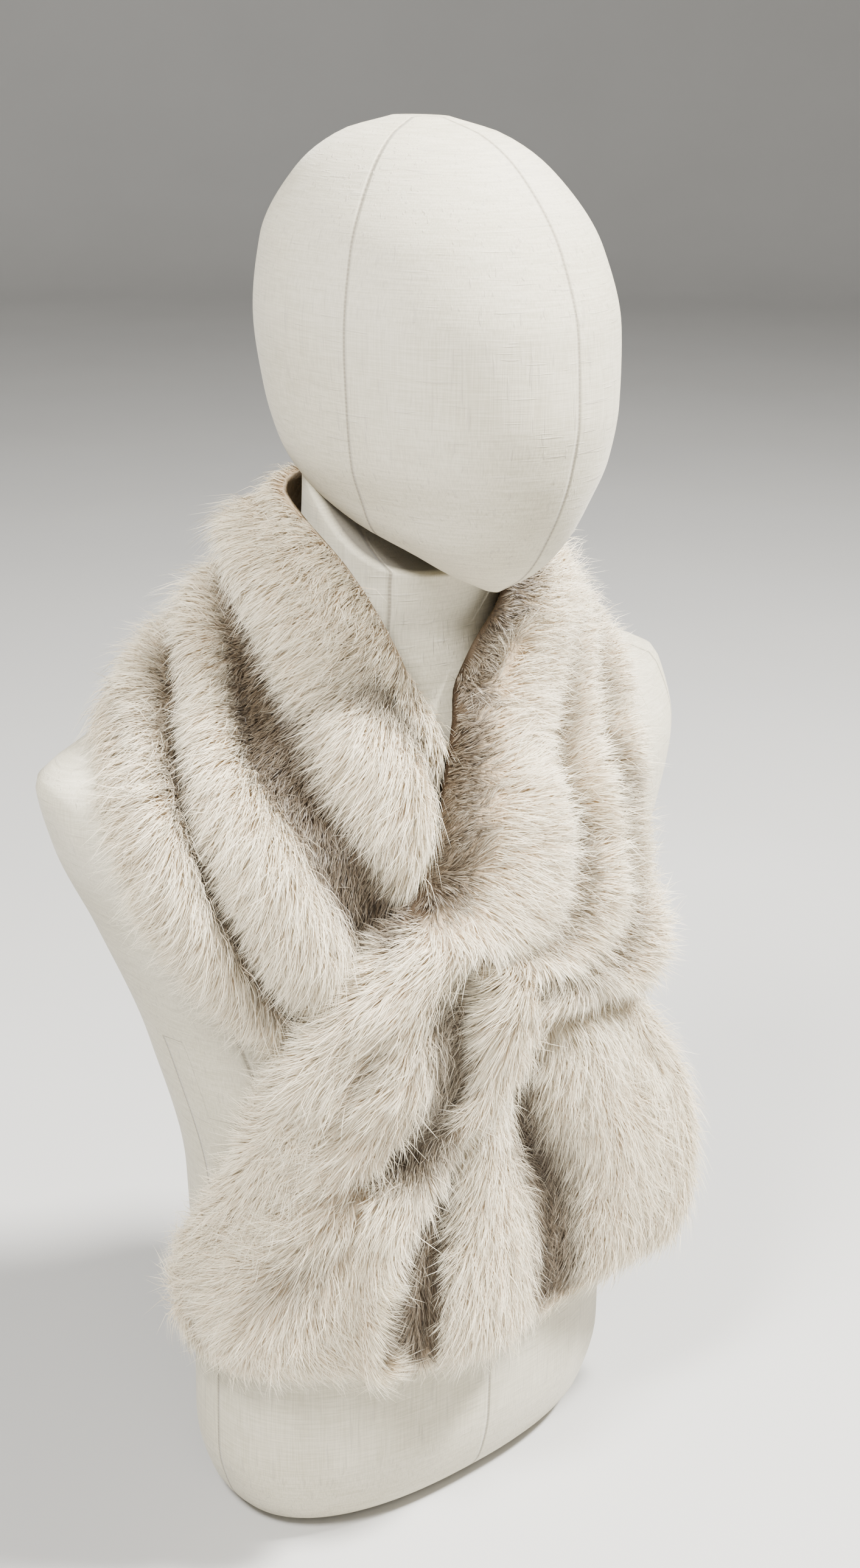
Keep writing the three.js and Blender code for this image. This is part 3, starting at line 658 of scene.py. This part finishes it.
def fullness_and_shade(s, t, crest):
    """How fully the fur stands and how light its painted shade is, from 0 in a valley to 1 on a
    crest: the height above the valley as a share of the ridge's, kept up where FULL_UNSHADED_PILE
    says and along the free neck edge, lowered and painted darker round each parting by a bell curve
    and along the pressed edges, and kept up again at both hems."""
    for least, comes, goes, left, starts, ends in FULL_UNSHADED_PILE:
        crest = np.maximum(crest, least * within(s, comes, goes, left) * within(t, starts, ends))
    turned_in = within(s, TURNED_IN_COMES, TURNED_IN_GOES)
    neck_edge_shade = mix(NECK_EDGE_FULL_UNSHADED, NECK_EDGE_THIN_SHADED, turned_in) * within(t, None, (0.03, 0.12))
    crest = np.maximum(crest, neck_edge_shade)
    for station, across, half, length, thin_and_shade in SHADED_PARTINGS:
        crest = crest * (1 - thin_and_shade * np.exp(-((s - station) / half) ** 2 - ((t - across) / length) ** 2))
    for thin_and_shade, comes, goes, starts in SHADED_PRESSED_EDGES:
        crest = crest * (1 - thin_and_shade * within(s, comes, goes) * within(t, starts, None))
    from_hem = np.minimum(s, len(BAND) - 1 - s)
    return np.maximum(crest, HEM_FULL_UNSHADED * within(from_hem, None, HEM_REACHES))


def fur_height(s, t, width, pile, valley):
    """The pile's height: the valley between ridges, and on each ridge the power of a parabola
    that swells on its way, less the creases, rounded off at both long edges and both hems. With
    it comes how fully the fur stands, which also sets its painted shade."""
    ridge = read_table(RIDGES, s)
    height = valley.copy()
    for k, (share, waves, phase, amount) in enumerate(SWELL):
        u = (t - ridge[..., 2 * k]) / ridge[..., 2 * k + 1]
        swell = 1 + amount * np.sin(2 * np.pi * (waves * s + phase))
        crown = valley + (pile * share * swell - valley) * np.clip(1 - u * u, 0, 1) ** 1.4
        height = np.maximum(height, np.where(np.abs(u) < 1, crown, 0))
    for station, across, length, half, depth, slant in CREASES:
        along, side = (s - station - slant * (t - across)) / half, (t - across) / length
        height = height - depth * np.exp(-along ** 2 - 1.5 * side ** 2)
    edge = np.clip(np.minimum(t, 1 - t) * width / EDGE_REACH, 0, 1)
    hem = np.clip(np.minimum(s, len(BAND) - 1 - s) / HEM_REACH, 0, 1)
    rounding = np.sqrt(1 - (1 - edge) ** 2) * np.sqrt(1 - (1 - hem) ** 2)
    crest = np.clip((height - valley) / np.maximum(pile - valley, 1), 0, 1)
    height = np.maximum(EDGE_THICKNESS, mix(EDGE_THICKNESS, np.maximum(height, 7), rounding))
    return height, fullness_and_shade(s, t, crest)


def share_out(point, away):
    """Slides each row's points along the row until they are evenly spaced, by reading the row at
    even shares of its length."""
    length = np.cumsum(np.linalg.norm(np.diff(point, axis=1, prepend=point[:, :1]), axis=-1), axis=1)
    rows, cols = length.shape
    shift = 2 * np.arange(rows)[:, None]
    seen = (length / length[:, -1:] + shift).ravel()
    want = (np.linspace(0, 1, cols) + shift).ravel()
    reads = [np.interp(want, seen, values.ravel()).reshape(rows, cols)
             for values in (*np.moveaxis(point, -1, 0), away)]
    return np.stack(reads[:3], -1), reads[3]


def across_grid(values, passes):
    """Repeated means with the four neighbours."""
    for _ in range(passes):
        wide = np.pad(values, ((1, 1), (1, 1), (0, 0)), mode="edge")
        values = (values + wide[2:, 1:-1] + wide[:-2, 1:-1] + wide[1:-1, 2:] + wide[1:-1, :-2]) / 5
    return values


class Band:
    """The whole band on one fine grid of stations by shares of the width: the cloth side laid on
    the form or lifted over the other run, its smoothed normal, and the height of the fur."""

    PER_STATION, ACROSS = 12, 56

    def __init__(self):
        last = len(BAND) - 1
        self.s = np.linspace(0, last, last * self.PER_STATION + 1)
        self.t = np.linspace(0, 1, self.ACROSS + 1)
        s, t = np.meshgrid(self.s, self.t, indexing="ij")
        row = read_band(self.s)[:, None, :]
        point = mix(row[..., :3], row[..., 3:6], t[..., None])
        after, before = read_band(self.s + 0.05), read_band(self.s - 0.05)
        forward = (after - before)[:, :3] + (after - before)[:, 3:6]
        inward = -unit(np.cross(forward, row[:, 0, 3:6] - row[:, 0, :3]))[:, None]
        point = point + inward * (read_table(SAG, s) * (4 * t * (1 - t))[..., None])
        width = np.linalg.norm(row[..., 3:6] - row[..., :3], axis=-1)
        pile, valley = row[..., 6] + 0 * t, row[..., 7] + 0 * t
        over, front = s >= 20, point[..., 1] < 20
        beneath = outline_distance(point[..., 0], point[..., 2], run_outline(UNDER_RUN))
        rest = np.where(over, REST_OVER, REST_UNDER)
        lift = np.where(over & front, mix(LIFT, rest, smooth_ramp(beneath, LIFT_RAMP)), rest)
        loose = (1 - smooth_ramp(s, CLING_STARTS) + smooth_ramp(s, CLING_LEAVES)
                 - smooth_ramp(s, CLING_RETURNS))
        away = lift + np.maximum(away_from_form(point)[0] - lift, 0) * loose
        for turn in range(3):
            for _ in range(4):
                distance, out = away_from_form(point)
                hold = np.where(distance < lift, 1, 1 - smooth_ramp(loose, (0.5, 1)))
                point = point + out * ((away - distance) * hold)[..., None]
            if turn < 2:
                point, away = share_out(point, away)
        for _ in range(BRIDGING):
            out = unit(np.cross(np.gradient(point, axis=0), np.gradient(point, axis=1)))
            rise = ((across_grid(point, 1) - point) * out).sum(-1, keepdims=True)
            rise[[0, -1]], rise[:, [0, -1]] = 0, 0
            point = point + out * np.maximum(rise, 0)
        height, crest = fur_height(s, t, width, pile, valley)
        beside = outline_distance(point[..., 0], point[..., 2], run_outline(OVER_RUN))
        pressed = np.minimum(height, mix(PRESSED, height, smooth_ramp(beside, PRESS_RAMP)))
        height = np.where(~over & front & (s < 13), pressed, height)
        normal = unit(np.cross(np.gradient(point, axis=0), np.gradient(point, axis=1)))
        self.cloth, self.normal = point, unit(across_grid(normal, 26))
        self.height = height
        outer = point + self.normal * height[..., None]
        out = unit(np.cross(np.gradient(outer, axis=0), np.gradient(outer, axis=1)))
        self.out = unit(across_grid(out, 3))
        self.along = unit(np.gradient(outer, axis=0))
        self.aside = unit(np.gradient(outer, axis=1))
        # Where the under run lies covered by the over run, it gets few hairs, and its hair is shorter
        # and painted in deep shade.
        covered = ~over & front & (s < 13) & (beside < -4)
        step_s = np.linalg.norm(np.gradient(outer, axis=0), axis=-1)
        step_t = np.linalg.norm(np.gradient(outer, axis=1), axis=-1)
        self.area = step_s * step_t * np.where(covered, 0.02, 1)
        self.crest = crest * np.where(covered, 0.2, 1)

    def rows(self, stretch):
        start, end = STRETCHES[stretch]
        return start * self.PER_STATION, end * self.PER_STATION

    def at(self, values, s, t):
        """Values read between the points of the grid."""
        i = np.clip(s * self.PER_STATION, 0, len(self.s) - 1.001)
        j = np.clip(t * self.ACROSS, 0, self.ACROSS - 0.001)
        a, b = i.astype(int), j.astype(int)
        u, v = (i - a), (j - b)
        if values.ndim == 3:
            u, v = u[:, None], v[:, None]
        near, far = (mix(values[a, c], values[a + 1, c], u) for c in (b, b + 1))
        return near * (1 - v) + far * v


def undercoat(stretch):
    """The dense fur of one stretch: a closed slab from the cloth side out to the undercoat, with
    small tufts raised on it by a sum of crossed waves."""
    first, end = band.rows(stretch)
    pick = slice(first, end + 1, 2)
    cloth, normal = band.cloth[pick, ::2], band.normal[pick, ::2]
    height, crest = band.height[pick, ::2], band.crest[pick, ::2]
    outer = cloth + normal * np.maximum(DENSE * height - 0.6 - HOLLOW * (1 - crest), 2)[..., None]
    x, y, z = np.moveaxis(outer, -1, 0)
    tufts = np.sin(x * 0.55 + 1.7 * np.sin(z * 0.21))
    tufts = tufts * np.sin(z * 0.6 + 1.3 * np.sin(x * 0.17 + y * 0.1))
    outer = outer + normal * (0.8 * tufts)[..., None]
    rows, cols, _ = cloth.shape
    n = rows * cols
    face = grid_quads(rows, cols)
    i, j = np.arange(rows - 1), np.arange(cols - 1)
    neck = np.stack([i * cols, (i + 1) * cols, n + (i + 1) * cols, n + i * cols], 1)
    free = np.stack([n + i * cols, n + (i + 1) * cols, (i + 1) * cols, i * cols], 1) + cols - 1
    low = np.stack([j, n + j, n + j + 1, j + 1], 1)
    high = np.stack([n + j, j, j + 1, n + j + 1], 1) + (rows - 1) * cols
    quads = np.vstack([n + face[:, ::-1], face, neck, free, low, high])
    points = np.vstack([cloth.reshape(-1, 3), outer.reshape(-1, 3)])
    # The undercoat's painted shade: dark on the cloth side; outside, dark down in the valleys and light
    # on the crests.
    full = np.concatenate([crest.ravel() * 0.3, smooth_ramp(crest.ravel(), (0.05, 0.75))])
    piece = make_mesh(f"wrap_{stretch}_undercoat", points, quads, None, undercoat_fur, "fur_pile",
                      marks={"crest": full})
    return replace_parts(piece, f"wrap_{stretch}")


def wander(point, size, seed):
    """A smooth random vector: for each axis a sum of four waves in random directions."""
    rng = np.random.default_rng(seed)
    total = np.zeros_like(point)
    for _ in range(4):
        ways = unit(rng.normal(size=(3, 3)))
        turns = point @ ways.T * (2 * np.pi / size) * rng.uniform(0.6, 1.5)
        total += np.sin(turns + rng.uniform(0, 6.3, 3))
    return total * 0.5


def comb_way(s, t, root, out, aside, along, spread, rng):
    """Which way each hair is combed: the COMB table's lean, plus its share of the distance from
    the middle of the hair's own ridge and of the band, splayed out over both long edges, wandering
    over short and long waves, with a random part, and laid nearly flat on the fur."""
    across, forward, fan, sweep, unrest = np.moveaxis(read_table(COMB, s), -1, 0)
    unrest = np.where(turned_in(s, t), 1.0, unrest)[:, None]
    ridge = read_table(RIDGES, s)
    centres, halves = ridge[:, ::2], ridge[:, 1::2]
    near = np.abs(t[:, None] - centres).argmin(1)[:, None]
    centre, half = (np.take_along_axis(values, near, 1)[:, 0] for values in (centres, halves))
    off = np.clip((t - centre) / half, -1.3, 1.3)
    neck_splay = mix(0.3, 1.2, smooth_ramp(s, (26, 29))) * smooth_ramp(t, (0.07, 0))
    splay = 1.2 * smooth_ramp(t, (0.92, 1)) - neck_splay
    comb = aside * (across + fan * off + sweep * (2 * t - 1) + splay)[:, None] + along * forward[:, None]
    comb = unit(comb) + wander(root, 60, 11) * 0.9 * unrest + wander(root, 17, 12) * 0.5 * unrest
    comb = unit(comb + spread * rng.normal(size=comb.shape))
    return unit(comb - out * (comb * out).sum(1, keepdims=True) * LAID_FLAT)


def turned_in(s, t):
    """Whether a root is on the strip of the neck edge that is turned in at the front."""
    return (s > 21) & (s < 28) & (t < 0.12)


def hair_map(shade):
    """The colour map at the blades' face corners: across, the hair's painted shade; up, root to tip."""
    left, right = shade - 0.03, shade + 0.03
    foot, middle, end = (0 * shade + up for up in (0.02, 0.5, 0.98))
    quad = [(left, foot), (right, foot), (right, middle), (left, middle)]
    tri = [(left, middle), (right, middle), (shade, end)]
    return np.vstack([np.stack([np.stack(corner, 1) for corner in face], 1).reshape(-1, 2)
                      for face in (quad, tri)])


LAID_FLAT = 0.8                                 # how much of the comb's outward part is taken off
RISE_SPREAD, EDGE_RISE, RISE_LIMITS = 0.14, 0.15, (0.05, 1.3)
LENGTH_SPREAD, VALLEY_LENGTH, CREST_LENGTH, EDGE_LENGTH = (0.7, 1.25), 0.5, 1.1, 0.15
COLLAR_EDGE_TRIM = 0.4                          # how much shorter the hair is at the neck edge
WIDTH_SPREAD, ROLL_SPREAD = (0.6, 1.2), 0.55
DROOP = np.array([0, 0, -0.12])
TUFTS = [(3.6, 8, 13), (2.2, 4, 14)]            # millimetres drawn aside, tuft's size, seed
TIP_DRAWN, MIDDLE_DRAWN = 0.4, 0.15


def hairs(name, stretch, count, seed, length, spread, width, lean, from_height):
    """Hairs as tapered three-face blades. Roots are spread evenly over the fur's outer surface;
    each hair leaves its root between the normal and the comb's direction, bends over towards the
    comb's direction, and its tip is drawn to its tuft. It is shorter in a valley, and painted
    darker there as shade."""
    rng = np.random.default_rng(seed)
    first, end = band.rows(stretch)
    area = band.area[first:end, :-1]
    cell = np.searchsorted(np.cumsum(area.ravel()) / area.sum(), rng.uniform(size=count))
    i, j = np.divmod(np.clip(cell, 0, area.size - 1), area.shape[1])
    s = (first + i + rng.uniform(size=count)) / band.PER_STATION
    t = (j + rng.uniform(size=count)) / band.ACROSS
    height, crest = band.at(band.height, s, t), band.at(band.crest, s, t)
    normal, out = unit(band.at(band.normal, s, t)), unit(band.at(band.out, s, t))
    aside, along = unit(band.at(band.aside, s, t)), unit(band.at(band.along, s, t))
    raised = np.maximum(height * from_height - HOLLOW * (1 - crest), 1)
    root = band.at(band.cloth, s, t) + normal * raised[:, None]
    comb = comb_way(s, t, root, out, aside, along, spread, rng)
    collar_edge = smooth_ramp(t, (0.12, 0.02)) * smooth_ramp(s, (8, 10)) * (1 - smooth_ramp(s, (26, 29)))
    border = smooth_ramp(np.minimum(t, 1 - t), (0.16, 0.02)) * ~turned_in(s, t)
    rise = np.clip(rng.normal(lean, RISE_SPREAD, count) + EDGE_RISE * border, *RISE_LIMITS)[:, None]
    start = unit(comb * np.cos(rise) + out * np.sin(rise))
    finish = unit(comb * np.cos(rise * 0.35) + out * np.sin(rise * 0.35) + DROOP)
    size = length * rng.uniform(*LENGTH_SPREAD, count) * mix(VALLEY_LENGTH, CREST_LENGTH, crest)
    size = (size * (1 + EDGE_LENGTH * border) * (1 - COLLAR_EDGE_TRIM * collar_edge))[:, None]
    middle = root + start * size * 0.5
    tip = middle + finish * size * 0.5
    tuft = sum(amount * wander(root, reach, turn) for amount, reach, turn in TUFTS)
    tuft -= out * (tuft * out).sum(1, keepdims=True)
    tip, middle = tip + tuft * TIP_DRAWN, middle + tuft * MIDDLE_DRAWN
    roll = rng.normal(0, ROLL_SPREAD, count)[:, None]
    side = unit(np.cross(start, out))
    side = unit(side * np.cos(roll) + np.cross(start, side) * np.sin(roll))
    half = (width * rng.uniform(*WIDTH_SPREAD, count) / 2)[:, None]
    points = np.stack([root - side * half, root + side * half, middle - side * half * 0.75,
                       middle + side * half * 0.75, tip], 1).reshape(-1, 3)
    base = (5 * np.arange(count))[:, None]
    quads, tris = base + np.array([0, 1, 3, 2]), base + np.array([2, 3, 4])
    # The hair's painted shade: dark towards the valleys, partings, pressed edges and covered fur, light
    # on the crests, with a random tone for each hair.
    shade = 0.86 * smooth_ramp(crest, (0.1, 0.74)) + rng.normal(0.03, 0.1, count)
    return make_mesh(name, points, quads, tris, hair_fur, "fur_pile",
                     uv=hair_map(np.clip(shade, 0.03, 0.97)))


photo_camera()
linen_cover, hair_fur, undercoat_fur = linen(), fur_hair(), fur_undercoat()
torso()
head()
band = Band()

HAIRS = {  # dense hairs and guard hairs on each stretch, in thousands
    "tail_under": (50, 9), "right_panel": (55, 11), "collar_back": (38, 7),
    "left_panel": (55, 11), "tail_over": (48, 9),
}
for number, (stretch, (dense, guard)) in enumerate(HAIRS.items()):
    shell = undercoat(stretch)
    coat = hairs(f"wrap_{stretch}_coat", stretch, dense * 1000, 20 + number, length=16, spread=0.12,
                 width=0.66, lean=0.5, from_height=DENSE - 0.12)
    guards = hairs(f"wrap_{stretch}_guard_hairs", stretch, guard * 1000, 40 + number, length=23,
                   spread=0.32, width=0.38, lean=0.65, from_height=DENSE - 0.05)

floor = studio_floor()
area_light("key", (0.95, -1.0, 2.4), 0.4, 320, (1, 0.985, 0.94))
area_light("side", (-1.35, -0.5, 2.2), 0.6, 115, (1, 0.985, 0.95))
area_light("front", (-1.0, -1.6, 1.5), 1.2, 14, (1, 0.99, 0.97))
world = bpy.data.worlds.new("studio")
world.use_nodes = True
world.node_tree.nodes["Background"].inputs["Color"].default_value = (0.9, 0.89, 0.87, 1)
world.node_tree.nodes["Background"].inputs["Strength"].default_value = 0.11
bpy.context.scene.world = world
